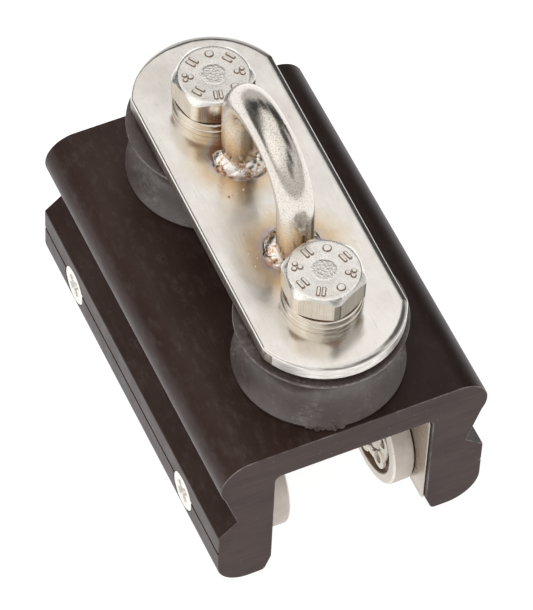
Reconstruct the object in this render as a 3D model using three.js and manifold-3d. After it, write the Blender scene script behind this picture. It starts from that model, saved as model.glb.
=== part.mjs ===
// Mainsheet traveller car: channel-shaped car body on four ball-bearing track wheels, with two
// control-line sheaves and a welded wire eye held by a stainless top plate.
// Millimetres. +X runs along the track (front), +Y is left, +Z is up; Z = 0 is under the wheels.
import * as THREE from 'three';
import { mergeVertices } from 'three/addons/utils/BufferGeometryUtils.js';
import Module from 'manifold-3d';

const wasm = await Module();
wasm.setup();

// ---- driving dimensions -------------------------------------------------------------------

// Car body, measured from the flat of its feet.
const CAR_LENGTH = 76;
const CAR_HALF_WIDTH = 25;
const CAR_TOP = 34.5;
const ROOF_UNDERSIDE = 27.6;
const WALL_INNER = 14.75;
const SHOULDER_RADIUS = 5.6;
const SHOULDER_REACH = 24.85;
const SHOULDER_END_ANGLE = -32;
const GROOVE_ROOT = [21.5, 18.0];
const LOBE_TOP = 14.9;
const GUIDE_LINE_HEIGHT = 10.1;
const GUIDE_LINE_WIDTH = 0.7;
const GUIDE_LINE_DEPTH = 0.4;
const FOOT_RADIUS = 6.1;
const FOOT_FLAT_INNER = 16;
const FOOT_CHAMFER_HEIGHT = 3.6;
const ROOF_FILLET = 1.2;

// Track wheels and their axles.
const AXLE_X = [22.9, -24.8];
const AXLE_HEIGHT = 8.8;
const WHEEL_RADIUS = 11.1;
const WHEEL_MIDDLE_Y = { left: 12.25, right: 11.45 };
const WHEEL_FRONT = 2.05;
const WHEEL_BACK = -2.05;
const WHEEL_CHAMFER = 0.5;
const WHEEL_BORE = 7.0;
const WHEEL_STEP = 1.0;
const WHEEL_MOUTH = 8.9;
const RACE_RADIUS = 1.47;
const BALL_CIRCLE = 5.9;
const BALL_RADIUS = 1.36;
const BALLS_PER_WHEEL = 6;
const FIRST_BALL_ANGLE = -40;
const HUB_RADIUS = 4.8;
const HUB_FRONT = 1.6;
const CAGE_PLATE = [1.3, 1.95];
const CAGE_FINGER_BACK = -0.9;
const CAGE_INNER = 5.12;
const CAGE_OUTER = 6.68;
const CAGE_WEB_OUTER = 7.2;
const CAGE_BOSS_RADIUS = 2.3;
const CAGE_POCKET_RADIUS = 1.55;
const CAGE_WINDOW_RADIUS = 1.3;
const AXLE_RADIUS = 2.0;
const AXLE_HOLE_RADIUS = 2.06;
const SCREW_HEAD_RADIUS = 3.7;
const SCREW_RIM_DEPTH = 0.25;
const SCREW_HEAD_DEPTH = 2.1;
const SCREW_RECESS = { width: 0.95, length: 4.0, depth: 1.4 };
const SCREW_SINK = 0.08;
const SCREW_SETBACK = 0.1;

// Stainless strips that line the channel walls.
const STRIP_THICKNESS = 0.3;
const STRIP_LENGTH = 74.4;
const STRIP_BOTTOM = 2.6;
const STRIP_TOP = 26.2;

// Top plate, bolts and sheaves.
const BOLT_X = 22.44;
const BOLT_RADIUS = 4.0;
const BOLT_HOLE_RADIUS = 4.08;
const BOLT_END = 28.4;
const PLATE_BOTTOM = 48;
const PLATE_TOP = 51;
const PLATE_HALF_WIDTH = 13.25;
const PLATE_END_RADIUS = 14.3;
const PLATE_ARC_SPACING = 46.05;
const PLATE_SHIFT = [-0.6, 0.4];
const PLATE_YAW = -0.75;
const PLATE_EDGE = 0.7;
const FLAT_WASHER_RADIUS = 7.0;
const FLAT_WASHER_TOP = 52.4;
const LOCK_WASHER_RADIUS = 6.85;
const LOCK_WASHER_TOP = 53.9;
const LOCK_WASHER_SPLIT = 0.6;
const HEX_ACROSS_FLATS = 13;
const HEX_TOP = 59.65;
const HEX_CORNER_RADIUS = 7.2;
const HEX_CHAMFER_RADIUS = 6.17;
const HEX_CHAMFER_SLOPE = 38;
const HEX_TURN = { front: -6, rear: 9 };
const SHEAVE_RADIUS = 14.95;
const SHEAVE_BOTTOM = 34.75;
const SHEAVE_RIM = 46.9;
const SHEAVE_HUB_TOP = 47.6;
const SHEAVE_HUB_RADIUS = 8;
const SHEAVE_WAIST_RADIUS = 11.3;
const BUSH_RADIUS = 5.0;
const SHEAVE_BORE = 5.1;

// Welded eye: round bar bent to a U that stands over the middle of the plate.
const EYE_BAR_RADIUS = 3.25;
const EYE_HALF_SPAN = 11.17;
const EYE_CENTRE_X = 0.28;
const EYE_SPRING_HEIGHT = 60.65;
const EYE_RISE = 11.05;
const EYE_SQUARENESS = 0.88;
const EYE_LEAN = -0.024;
const WELD_RING_RADIUS = 3.7;
const WELD_BEAD_RADIUS = 1.55;
const WELD_BEADS = 8;
const WELD_ARC = 250;

// The wheels reach this far below the feet, so the whole car is lifted by it.
const RIDE_HEIGHT = WHEEL_RADIUS - AXLE_HEIGHT;

// Facets round a full turn.
const FINE = 36;
const MEDIUM = 28;
const COARSE = 20;
const SMALL = 12;
const BALL_FACETS = [8, 6];
const BEAD_FACETS = [9, 6];

// ---- helpers ------------------------------------------------------------------------------

const rad = THREE.MathUtils.degToRad;

function signedVolume(position, index) {
  const [a, b, c] = [new THREE.Vector3(), new THREE.Vector3(), new THREE.Vector3()];
  let total = 0;
  for (let i = 0; i < index.length; i += 3) {
    a.fromBufferAttribute(position, index[i]);
    b.fromBufferAttribute(position, index[i + 1]);
    c.fromBufferAttribute(position, index[i + 2]);
    total += a.dot(b.cross(c));
  }
  return total;
}

function solid(geometry) {
  geometry.deleteAttribute('normal');
  geometry.deleteAttribute('uv');
  const merged = mergeVertices(geometry, 1e-4);
  const index = Array.from(merged.index.array);
  const triangles = [];
  for (let i = 0; i < index.length; i += 3) {
    const corner = index.slice(i, i + 3);
    if (new Set(corner).size === 3) {
      triangles.push(...corner);
    }
  }
  if (signedVolume(merged.attributes.position, triangles) < 0) {
    triangles.reverse();
  }
  const mesh = new wasm.Mesh({
    numProp: 3,
    vertProperties: new Float32Array(merged.attributes.position.array),
    triVerts: new Uint32Array(triangles),
  });
  return new wasm.Manifold(mesh);
}

function toGeometry(manifold) {
  const mesh = manifold.getMesh();
  const geometry = new THREE.BufferGeometry();
  geometry.setAttribute('position', new THREE.BufferAttribute(new Float32Array(mesh.vertProperties), 3));
  geometry.setIndex(Array.from(mesh.triVerts));
  geometry.computeVertexNormals();
  return geometry;
}

// Cylinder along +Z from z0 to z1.
function post(radius, z0, z1, x = 0, y = 0, segments = COARSE) {
  const geometry = new THREE.CylinderGeometry(radius, radius, z1 - z0, segments);
  geometry.rotateX(Math.PI / 2);
  geometry.translate(x, y, (z0 + z1) / 2);
  return solid(geometry);
}

// Cylinder along +Y from y0 to y1.
function pin(radius, y0, y1, x, z, segments = COARSE) {
  const geometry = new THREE.CylinderGeometry(radius, radius, y1 - y0, segments);
  geometry.translate(x, (y0 + y1) / 2, z);
  return solid(geometry);
}

function block(size, centre) {
  const geometry = new THREE.BoxGeometry(...size);
  geometry.translate(...centre);
  return solid(geometry);
}

// Ring or disc turned about Y from [radius, height] corners.
function turned(corners, segments) {
  const points = corners.map(([r, h]) => new THREE.Vector2(r, h));
  points.push(points[0].clone());
  return new THREE.LatheGeometry(points, segments);
}

function turnedUpright(corners, segments) {
  const geometry = turned(corners, segments);
  geometry.rotateX(Math.PI / 2);
  return solid(geometry);
}

function arcPoints(centre, radius, from, to, count) {
  return Array.from({ length: count + 1 }, (_, i) => {
    const angle = rad(from + ((to - from) * i) / count);
    return [centre[0] + radius * Math.cos(angle), centre[1] + radius * Math.sin(angle)];
  });
}

function outline(points) {
  return new THREE.Shape(points.map(([x, y]) => new THREE.Vector2(x, y)));
}

const LOOKS = {
  anodised: { color: 0x2b2423, roughness: 0.42, metalness: 0.6 },
  plate_steel: { color: 0xd9d4ca, roughness: 0.28, metalness: 1.0 },
  polished_steel: { color: 0xcfc6b8, roughness: 0.18, metalness: 1.0 },
  weld_steel: { color: 0xb9aa98, roughness: 0.3, metalness: 1.0 },
  bolt_steel: { color: 0xd6d0c6, roughness: 0.35, metalness: 1.0 },
  washer_steel: { color: 0xbfae92, roughness: 0.3, metalness: 1.0 },
  sheave_plastic: { color: 0x2c2827, roughness: 0.45, metalness: 0.0 },
  wheel_plastic: { color: 0xd3cac0, roughness: 0.5, metalness: 0.0 },
  cage_plastic: { color: 0xddd4c6, roughness: 0.5, metalness: 0.0 },
  ball_steel: { color: 0xd8d4cc, roughness: 0.08, metalness: 1.0 },
  strip_steel: { color: 0xc9c2b8, roughness: 0.3, metalness: 1.0 },
};

const car = new THREE.Group();
car.name = 'traveller_car';

function add(name, look, manifold) {
  const geometry = toGeometry(manifold);
  geometry.translate(0, 0, RIDE_HEIGHT);
  const mesh = new THREE.Mesh(geometry, new THREE.MeshStandardMaterial(LOOKS[look]));
  mesh.name = name;
  car.add(mesh);
}

// ---- car body -----------------------------------------------------------------------------

// Right half of the section, from the middle of the top round to the middle of the roof's underside.
function halfSection() {
  const shoulder = [SHOULDER_REACH - SHOULDER_RADIUS, CAR_TOP - SHOULDER_RADIUS];
  const foot = [CAR_HALF_WIDTH - FOOT_RADIUS, FOOT_RADIUS];
  const roofCorner = [WALL_INNER - ROOF_FILLET, ROOF_UNDERSIDE - ROOF_FILLET];
  const guideHalf = GUIDE_LINE_WIDTH / 2;
  return [
    ...arcPoints(shoulder, SHOULDER_RADIUS, 90, SHOULDER_END_ANGLE, 12),
    GROOVE_ROOT,
    [CAR_HALF_WIDTH, LOBE_TOP],
    [CAR_HALF_WIDTH, GUIDE_LINE_HEIGHT + guideHalf],
    [CAR_HALF_WIDTH - GUIDE_LINE_DEPTH, GUIDE_LINE_HEIGHT],
    [CAR_HALF_WIDTH, GUIDE_LINE_HEIGHT - guideHalf],
    ...arcPoints(foot, FOOT_RADIUS, 0, -90, 8),
    [FOOT_FLAT_INNER, 0],
    [WALL_INNER, FOOT_CHAMFER_HEIGHT],
    ...arcPoints(roofCorner, ROOF_FILLET, 0, 90, 3),
  ];
}

const half = halfSection();
const mirrored = half.map(([y, z]) => [-y, z]).reverse();
const section = new THREE.ExtrudeGeometry(outline([...half, ...mirrored]), {
  depth: CAR_LENGTH,
  bevelEnabled: false,
});
const alongX = new THREE.Matrix4().makeBasis(
  new THREE.Vector3(0, 1, 0),
  new THREE.Vector3(0, 0, 1),
  new THREE.Vector3(1, 0, 0),
);
section.applyMatrix4(alongX);
section.translate(-CAR_LENGTH / 2, 0, 0);

const STATIONS = [];
for (const [end, x] of [['front', AXLE_X[0]], ['rear', AXLE_X[1]]]) {
  for (const [side, sign] of [['left', 1], ['right', -1]]) {
    STATIONS.push({ name: `${end}_${side}`, x, sign, middle: WHEEL_MIDDLE_Y[side] });
  }
}
const ENDS = [
  { name: 'front', sign: 1 },
  { name: 'rear', sign: -1 },
];

// Countersunk shape with its flat face at y = 0 and its shank along -Y.
function countersunk(headRadius, shankRadius, rimDepth, headDepth, length) {
  const corners = [
    [0, 0],
    [headRadius, 0],
    [headRadius, -rimDepth],
    [shankRadius, -headDepth],
    [shankRadius, -length],
    [0, -length],
  ];
  return solid(new THREE.LatheGeometry(corners.map(([r, h]) => new THREE.Vector2(r, h)), COARSE));
}

function placeOnSide(manifold, station, y) {
  const turn = station.sign > 0 ? 0 : 180;
  return manifold.rotate([0, 0, turn]).translate([station.x, station.sign * y, AXLE_HEIGHT]);
}

const HOLE_CLEARANCE = 0.06;
const SINK_CLEARANCE = SCREW_SINK + HOLE_CLEARANCE;
const WALL_HOLE_LENGTH = CAR_HALF_WIDTH - WALL_INNER + 1;
let body = solid(section);
for (const end of ENDS) {
  body = body.subtract(post(BOLT_HOLE_RADIUS, ROOF_UNDERSIDE - 1, CAR_TOP + 1, end.sign * BOLT_X));
}
for (const station of STATIONS) {
  const sink = countersunk(
    SCREW_HEAD_RADIUS + HOLE_CLEARANCE,
    AXLE_HOLE_RADIUS,
    SCREW_RIM_DEPTH + SINK_CLEARANCE,
    SCREW_HEAD_DEPTH + SINK_CLEARANCE,
    WALL_HOLE_LENGTH,
  );
  body = body.subtract(placeOnSide(sink, station, CAR_HALF_WIDTH));
}
add('car_body', 'anodised', body);

// ---- channel strips -----------------------------------------------------------------------

const STRIP_INNER = WALL_INNER - STRIP_THICKNESS;
for (const [side, sign] of [['left', 1], ['right', -1]]) {
  const middle = [0, sign * (WALL_INNER - STRIP_THICKNESS / 2), (STRIP_BOTTOM + STRIP_TOP) / 2];
  let strip = block([STRIP_LENGTH, STRIP_THICKNESS, STRIP_TOP - STRIP_BOTTOM], middle);
  for (const x of AXLE_X) {
    strip = strip.subtract(pin(AXLE_HOLE_RADIUS, -WALL_INNER - 1, WALL_INNER + 1, x, AXLE_HEIGHT));
  }
  add(`channel_strip_${side}`, 'strip_steel', strip);
}

// ---- track wheels -------------------------------------------------------------------------
// Each wheel is drawn about Y with depth d measured towards the middle of the channel, then turned
// so that d runs along -Y on the left wall and +Y on the right wall.

function facingInwards(corners, segments) {
  return solid(turned(corners.map(([r, d]) => [r, -d]), segments));
}

function raceArc(from, to) {
  return arcPoints([BALL_CIRCLE, 0], RACE_RADIUS, from, to, 4);
}

function wheelTyre() {
  const openAngle = (Math.acos((WHEEL_BORE - BALL_CIRCLE) / RACE_RADIUS) * 180) / Math.PI;
  const stepAngle = (Math.asin(WHEEL_STEP / RACE_RADIUS) * 180) / Math.PI;
  const shoulder = WHEEL_RADIUS - WHEEL_CHAMFER;
  return facingInwards(
    [
      [WHEEL_BORE, WHEEL_BACK],
      ...raceArc(-openAngle, stepAngle),
      [WHEEL_MOUTH, WHEEL_STEP],
      [WHEEL_MOUTH, WHEEL_FRONT],
      [shoulder, WHEEL_FRONT],
      [WHEEL_RADIUS, WHEEL_FRONT - WHEEL_CHAMFER],
      [WHEEL_RADIUS, WHEEL_BACK + WHEEL_CHAMFER],
      [shoulder, WHEEL_BACK],
    ],
    MEDIUM,
  );
}

function wheelHub(middle) {
  const openAngle = (Math.acos((BALL_CIRCLE - HUB_RADIUS) / RACE_RADIUS) * 180) / Math.PI;
  return facingInwards(
    [
      [AXLE_HOLE_RADIUS, middle - STRIP_INNER],
      [HUB_RADIUS, middle - STRIP_INNER],
      ...raceArc(180 + openAngle, 180 - openAngle),
      [HUB_RADIUS, HUB_FRONT],
      [AXLE_HOLE_RADIUS, HUB_FRONT],
    ],
    COARSE,
  );
}

function ballPositions() {
  return Array.from({ length: BALLS_PER_WHEEL }, (_, i) => {
    const angle = rad(FIRST_BALL_ANGLE + (360 * i) / BALLS_PER_WHEEL);
    return [BALL_CIRCLE * Math.cos(angle), BALL_CIRCLE * Math.sin(angle)];
  });
}

function ballCage() {
  const [plateBack, plateFront] = CAGE_PLATE;
  const overlap = 0.2;
  let plate = pin(CAGE_WEB_OUTER, -plateFront, -plateBack, 0, 0, COARSE);
  let fingers = pin(CAGE_OUTER, -plateBack - overlap, -CAGE_FINGER_BACK, 0, 0, COARSE);
  for (const [x, z] of ballPositions()) {
    plate = plate.add(pin(CAGE_BOSS_RADIUS, -plateFront, -plateBack, x, z, SMALL));
  }
  for (const [x, z] of ballPositions()) {
    const window = pin(CAGE_WINDOW_RADIUS, -plateFront - 1, -plateBack + 1, x, z, SMALL);
    const pocket = pin(CAGE_POCKET_RADIUS, -plateBack - overlap, -CAGE_FINGER_BACK + 1, x, z, SMALL);
    plate = plate.subtract(window);
    fingers = fingers.subtract(pocket);
  }
  const core = pin(CAGE_INNER, -plateFront - 1, -CAGE_FINGER_BACK + 1, 0, 0, COARSE);
  return plate.add(fingers).subtract(core);
}

function steelBall(x, z) {
  const geometry = new THREE.SphereGeometry(BALL_RADIUS, ...BALL_FACETS);
  geometry.translate(x, 0, z);
  return solid(geometry);
}

function axleScrew(middle) {
  const length = CAR_HALF_WIDTH - SCREW_SINK - middle + HUB_FRONT - SCREW_SETBACK;
  let screw = countersunk(SCREW_HEAD_RADIUS, AXLE_RADIUS, SCREW_RIM_DEPTH, SCREW_HEAD_DEPTH, length);
  const { width, length: span, depth } = SCREW_RECESS;
  for (const size of [[width, 2 * depth, span], [span, 2 * depth, width]]) {
    screw = screw.subtract(block(size, [0, 0, 0]));
  }
  return screw;
}

for (const station of STATIONS) {
  const { name, middle } = station;
  add(`wheel_tyre_${name}`, 'wheel_plastic', placeOnSide(wheelTyre(), station, middle));
  add(`wheel_hub_${name}`, 'bolt_steel', placeOnSide(wheelHub(middle), station, middle));
  add(`ball_cage_${name}`, 'cage_plastic', placeOnSide(ballCage(), station, middle));
  ballPositions().forEach(([x, z], i) => {
    add(`ball_${name}_${i + 1}`, 'ball_steel', placeOnSide(steelBall(x, z), station, middle));
  });
  const screw = placeOnSide(axleScrew(middle), station, CAR_HALF_WIDTH - SCREW_SINK);
  add(`axle_screw_${name}`, 'bolt_steel', screw);
}

// ---- sheaves and their bushes -------------------------------------------------------------

function sheave() {
  const edge = 0.3;
  const lip = 0.3;
  const grooveBottom = SHEAVE_BOTTOM + edge + lip;
  const grooveTop = SHEAVE_RIM - edge - lip;
  const groove = Array.from({ length: 9 }, (_, i) => {
    const t = i / 8;
    const depth = (SHEAVE_RADIUS - SHEAVE_WAIST_RADIUS) * Math.sin(Math.PI * t) ** 0.8;
    return [SHEAVE_RADIUS - depth, grooveBottom + (grooveTop - grooveBottom) * t];
  });
  return turnedUpright(
    [
      [SHEAVE_BORE, SHEAVE_BOTTOM],
      [SHEAVE_RADIUS - edge, SHEAVE_BOTTOM],
      [SHEAVE_RADIUS, SHEAVE_BOTTOM + edge],
      ...groove,
      [SHEAVE_RADIUS, SHEAVE_RIM - edge],
      [SHEAVE_RADIUS - edge, SHEAVE_RIM],
      [SHEAVE_HUB_RADIUS, SHEAVE_RIM],
      [SHEAVE_HUB_RADIUS, SHEAVE_HUB_TOP],
      [SHEAVE_BORE, SHEAVE_HUB_TOP],
    ],
    FINE,
  );
}

function bush() {
  return turnedUpright(
    [
      [BOLT_HOLE_RADIUS, CAR_TOP],
      [BUSH_RADIUS, CAR_TOP],
      [BUSH_RADIUS, PLATE_BOTTOM],
      [BOLT_HOLE_RADIUS, PLATE_BOTTOM],
    ],
    COARSE,
  );
}

for (const end of ENDS) {
  const place = [end.sign * BOLT_X, 0, 0];
  add(`sheave_${end.name}`, 'sheave_plastic', sheave().translate(place));
  add(`sheave_bush_${end.name}`, 'bolt_steel', bush().translate(place));
}

// ---- top plate ----------------------------------------------------------------------------

const arcMiddle = PLATE_ARC_SPACING / 2;
const endAngle = (Math.asin(PLATE_HALF_WIDTH / PLATE_END_RADIUS) * 180) / Math.PI;
const frontArc = arcPoints([arcMiddle, 0], PLATE_END_RADIUS, -endAngle, endAngle, 22);
const rearArc = frontArc.map(([x, y]) => [-x, -y]);
const plateBlank = new THREE.ExtrudeGeometry(outline([...frontArc, ...rearArc]), {
  depth: PLATE_TOP - PLATE_BOTTOM - 2 * PLATE_EDGE,
  bevelEnabled: true,
  bevelThickness: PLATE_EDGE,
  bevelSize: PLATE_EDGE,
  bevelOffset: -PLATE_EDGE,
  bevelSegments: 3,
});
plateBlank.rotateZ(rad(PLATE_YAW));
plateBlank.translate(...PLATE_SHIFT, PLATE_BOTTOM + PLATE_EDGE);
let plate = solid(plateBlank);
for (const end of ENDS) {
  plate = plate.subtract(post(BOLT_HOLE_RADIUS, PLATE_BOTTOM - 1, PLATE_TOP + 1, end.sign * BOLT_X));
}
add('top_plate', 'plate_steel', plate);

// ---- bolts and washers --------------------------------------------------------------------

function hexBolt(turn) {
  const height = HEX_TOP - LOCK_WASHER_TOP;
  const sharpCorner = HEX_ACROSS_FLATS / 2 / Math.cos(Math.PI / 6);
  const corners = arcPoints([0, 0], sharpCorner, turn, turn + 300, 5);
  const prism = new THREE.ExtrudeGeometry(outline(corners), { depth: height, bevelEnabled: false });
  prism.translate(0, 0, LOCK_WASHER_TOP);
  const chamferWidth = HEX_CORNER_RADIUS - HEX_CHAMFER_RADIUS;
  const chamferDrop = chamferWidth * Math.tan(rad(HEX_CHAMFER_SLOPE));
  const envelope = new THREE.LatheGeometry(
    [
      [0, LOCK_WASHER_TOP],
      [HEX_CHAMFER_RADIUS, LOCK_WASHER_TOP],
      [HEX_CORNER_RADIUS, LOCK_WASHER_TOP + chamferDrop],
      [HEX_CORNER_RADIUS, HEX_TOP - chamferDrop],
      [HEX_CHAMFER_RADIUS, HEX_TOP],
      [0, HEX_TOP],
    ].map(([r, h]) => new THREE.Vector2(r, h)),
    FINE,
  );
  envelope.rotateX(Math.PI / 2);
  const head = solid(prism).intersect(solid(envelope));
  return head.add(post(BOLT_RADIUS, BOLT_END, LOCK_WASHER_TOP + 1));
}

function washer(radius, bottom, top) {
  const edge = 0.25;
  return turnedUpright(
    [
      [BOLT_HOLE_RADIUS, bottom],
      [radius - edge, bottom],
      [radius, bottom + edge],
      [radius, top - edge],
      [radius - edge, top],
      [BOLT_HOLE_RADIUS, top],
    ],
    COARSE,
  );
}

function lockWasher(outwards) {
  const split = block(
    [LOCK_WASHER_RADIUS + 1, LOCK_WASHER_SPLIT, LOCK_WASHER_TOP],
    [(LOCK_WASHER_RADIUS + 1) / 2, 0, LOCK_WASHER_TOP],
  );
  const ring = washer(LOCK_WASHER_RADIUS, FLAT_WASHER_TOP, LOCK_WASHER_TOP);
  return ring.subtract(split.rotate([0, 0, outwards]));
}

const SPLIT_DIRECTION = 110;
for (const end of ENDS) {
  const place = [end.sign * BOLT_X, 0, 0];
  add(`hex_bolt_${end.name}`, 'bolt_steel', hexBolt(HEX_TURN[end.name]).translate(place));
  add(`lock_washer_${end.name}`, 'washer_steel', lockWasher(SPLIT_DIRECTION).translate(place));
  const flat = washer(FLAT_WASHER_RADIUS, PLATE_TOP, FLAT_WASHER_TOP);
  add(`flat_washer_${end.name}`, 'washer_steel', flat.translate(place));
}

// ---- eye and its welds --------------------------------------------------------------------

function eyePoint(x, z) {
  return new THREE.Vector3(EYE_CENTRE_X + x, EYE_LEAN * (z - PLATE_TOP), z);
}

function eyeBar() {
  const points = [];
  const legPoints = 5;
  const archPoints = 20;
  for (let i = 0; i < legPoints; i += 1) {
    const z = PLATE_TOP + ((EYE_SPRING_HEIGHT - PLATE_TOP) * i) / legPoints;
    points.push(eyePoint(EYE_HALF_SPAN, z));
  }
  for (let i = 0; i <= archPoints; i += 1) {
    const angle = (Math.PI * i) / archPoints;
    const across = Math.sign(Math.cos(angle)) * Math.abs(Math.cos(angle)) ** EYE_SQUARENESS;
    const up = Math.abs(Math.sin(angle)) ** EYE_SQUARENESS;
    points.push(eyePoint(EYE_HALF_SPAN * across, EYE_SPRING_HEIGHT + EYE_RISE * up));
  }
  for (let i = legPoints - 1; i >= 0; i -= 1) {
    const z = PLATE_TOP + ((EYE_SPRING_HEIGHT - PLATE_TOP) * i) / legPoints;
    points.push(eyePoint(-EYE_HALF_SPAN, z));
  }
  const circle = arcPoints([0, 0], EYE_BAR_RADIUS, 0, 337.5, 15);
  const bar = new THREE.ExtrudeGeometry(outline(circle), {
    steps: 40,
    extrudePath: new THREE.CatmullRomCurve3(points, false, 'centripetal'),
  });
  const top = EYE_SPRING_HEIGHT + EYE_RISE + 2 * EYE_BAR_RADIUS;
  const span = 2 * (EYE_HALF_SPAN + 2 * EYE_BAR_RADIUS);
  const abovePlate = block([span, span, top - PLATE_TOP], [EYE_CENTRE_X, 0, (PLATE_TOP + top) / 2]);
  return solid(bar).intersect(abovePlate);
}

function weld(sign) {
  const legX = EYE_CENTRE_X + sign * EYE_HALF_SPAN;
  const inwards = sign > 0 ? 180 : 0;
  let bead = null;
  for (let i = 0; i < WELD_BEADS; i += 1) {
    const angle = rad(inwards - WELD_ARC / 2 + (WELD_ARC * i) / (WELD_BEADS - 1));
    const drop = new THREE.SphereGeometry(WELD_BEAD_RADIUS, ...BEAD_FACETS);
    drop.rotateX(Math.PI / 2);
    drop.translate(
      legX + WELD_RING_RADIUS * Math.cos(angle),
      WELD_RING_RADIUS * Math.sin(angle),
      PLATE_TOP,
    );
    bead = bead ? bead.add(solid(drop)) : solid(drop);
  }
  const belowSize = 4 * WELD_RING_RADIUS;
  const below = block([belowSize, belowSize, belowSize], [legX, 0, PLATE_TOP - belowSize / 2]);
  const gap = 0.05;
  const leg = post(EYE_BAR_RADIUS + gap, PLATE_TOP - 1, EYE_SPRING_HEIGHT, legX, 0, MEDIUM);
  return bead.subtract(below).subtract(leg);
}

add('eye_bow', 'polished_steel', eyeBar());
for (const end of ENDS) {
  add(`eye_weld_${end.name}`, 'weld_steel', weld(end.sign));
}

export default car;
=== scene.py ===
import random
from math import acos, asin, copysign, cos, degrees, hypot, pi, radians, sin, sqrt, tan

import bmesh
import bpy
from mathutils import Matrix, Vector


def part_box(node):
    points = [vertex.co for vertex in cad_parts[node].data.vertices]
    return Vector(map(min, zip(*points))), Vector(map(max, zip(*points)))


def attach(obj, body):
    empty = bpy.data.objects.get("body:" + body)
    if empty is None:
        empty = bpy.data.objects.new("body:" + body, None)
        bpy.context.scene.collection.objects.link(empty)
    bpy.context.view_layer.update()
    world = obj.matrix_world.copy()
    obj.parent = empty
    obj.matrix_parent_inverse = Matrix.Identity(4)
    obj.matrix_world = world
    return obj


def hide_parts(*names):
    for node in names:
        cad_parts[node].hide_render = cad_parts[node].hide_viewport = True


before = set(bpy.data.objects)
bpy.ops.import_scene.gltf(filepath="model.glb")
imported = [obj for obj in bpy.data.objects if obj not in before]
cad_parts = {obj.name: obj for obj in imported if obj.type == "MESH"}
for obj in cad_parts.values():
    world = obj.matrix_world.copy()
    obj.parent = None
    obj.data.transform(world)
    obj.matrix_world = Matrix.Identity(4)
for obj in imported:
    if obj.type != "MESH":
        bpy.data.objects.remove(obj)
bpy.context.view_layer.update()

MM = 0.001
TAU = 2 * pi
random.seed(11)


def box_mm(node):
    low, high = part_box(node)
    return low / MM, high / MM


def centre_mm(node):
    low, high = box_mm(node)
    return (low + high) / 2


# ---- dimensions taken from the frame

BODY_LOW, BODY_HIGH = box_mm("car_body")
PLATE_LOW, PLATE_HIGH = box_mm("top_plate")
EYE_LOW, EYE_HIGH = box_mm("eye_bow")
FEET = BODY_LOW.z
ROOF = BODY_HIGH.z
HALF_LENGTH = BODY_HIGH.x
HALF_WIDTH = BODY_HIGH.y
PLATE_BOTTOM = PLATE_LOW.z
PLATE_TOP = PLATE_HIGH.z
ENDS = ("front", "rear")
BOLTS = {end: centre_mm(f"hex_bolt_{end}") for end in ENDS}
STATIONS = {
    f"{end}_{side}": centre_mm(f"wheel_tyre_{end}_{side}")
    for end in ENDS
    for side in ("left", "right")
}


# ---- outlines


def arc(centre_x, centre_y, radius, start, end, count):
    """Points on an arc, angles in degrees."""
    points = []
    for i in range(count + 1):
        angle = radians(start + (end - start) * i / count)
        across, up = radius * cos(angle), radius * sin(angle)
        points.append(Vector((centre_x + across, centre_y + up)))
    return points


def fillet(corners, closed=True, steps=4):
    """Outline through corners (x, y) or (x, y, radius), with each radius rounded off."""
    out = []
    count = len(corners)
    for i, corner in enumerate(corners):
        here = Vector(corner[:2])
        radius = corner[2] if len(corner) > 2 else 0
        if radius == 0 or (not closed and i in (0, count - 1)):
            out.append(here)
            continue
        back = Vector(corners[i - 1][:2]) - here
        ahead = Vector(corners[(i + 1) % count][:2]) - here
        half = back.angle(ahead) / 2
        cut = min(radius / tan(half), 0.48 * back.length, 0.48 * ahead.length)
        back.normalize()
        ahead.normalize()
        real = cut * tan(half)
        centre = here + (back + ahead).normalized() * real / sin(half)
        first = here + back * cut - centre
        last = here + ahead * cut - centre
        turn = pi - 2 * half
        for k in range(steps + 1):
            t = k / steps
            a = sin((1 - t) * turn) / sin(turn)
            b = sin(t * turn) / sin(turn)
            out.append(centre + first * a + last * b)
    return out


def inset(outline, distance):
    """A closed counter-clockwise outline moved inwards by distance."""
    moved = []
    count = len(outline)
    for i, here in enumerate(outline):
        a = (here - outline[i - 1]).normalized()
        b = (outline[(i + 1) % count] - here).normalized()
        na, nb = Vector((-a.y, a.x)), Vector((-b.y, b.x))
        middle = (na + nb).normalized()
        moved.append(here + middle * distance / max(0.35, middle.dot(na)))
    return moved


def counter_clockwise(outline):
    area = sum(
        outline[i - 1].x * outline[i].y - outline[i].x * outline[i - 1].y
        for i in range(len(outline))
    )
    return outline if area > 0 else outline[::-1]


# ---- solids


def lathe(profile, segments=96, closed=True):
    """Profile points (radius, height) turned about Z."""
    bm = bmesh.new()
    rings = []
    for i in range(segments):
        angle = TAU * i / segments
        c, s = cos(angle), sin(angle)
        rings.append([bm.verts.new((p[0] * c, p[0] * s, p[1])) for p in profile])
    last = len(profile) if closed else len(profile) - 1
    for i in range(segments):
        a, b = rings[i], rings[(i + 1) % segments]
        for j in range(last):
            k = (j + 1) % len(profile)
            bm.faces.new((a[j], b[j], b[k], a[k]))
    bmesh.ops.remove_doubles(bm, verts=bm.verts, dist=1e-5)
    bmesh.ops.dissolve_degenerate(bm, edges=bm.edges, dist=1e-6)
    bmesh.ops.recalc_face_normals(bm, faces=bm.faces)
    return bm


def stack(layers):
    """Solid from layers of equal point lists (Vectors in 3-D), capped at both ends."""
    bm = bmesh.new()
    rows = [[bm.verts.new(p) for p in layer] for layer in layers]
    for a, b in zip(rows, rows[1:]):
        for i in range(len(a)):
            bm.faces.new((a[i - 1], a[i], b[i], b[i - 1]))
    bm.faces.new(rows[0][::-1])
    bm.faces.new(rows[-1])
    bmesh.ops.recalc_face_normals(bm, faces=bm.faces)
    return bm


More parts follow.
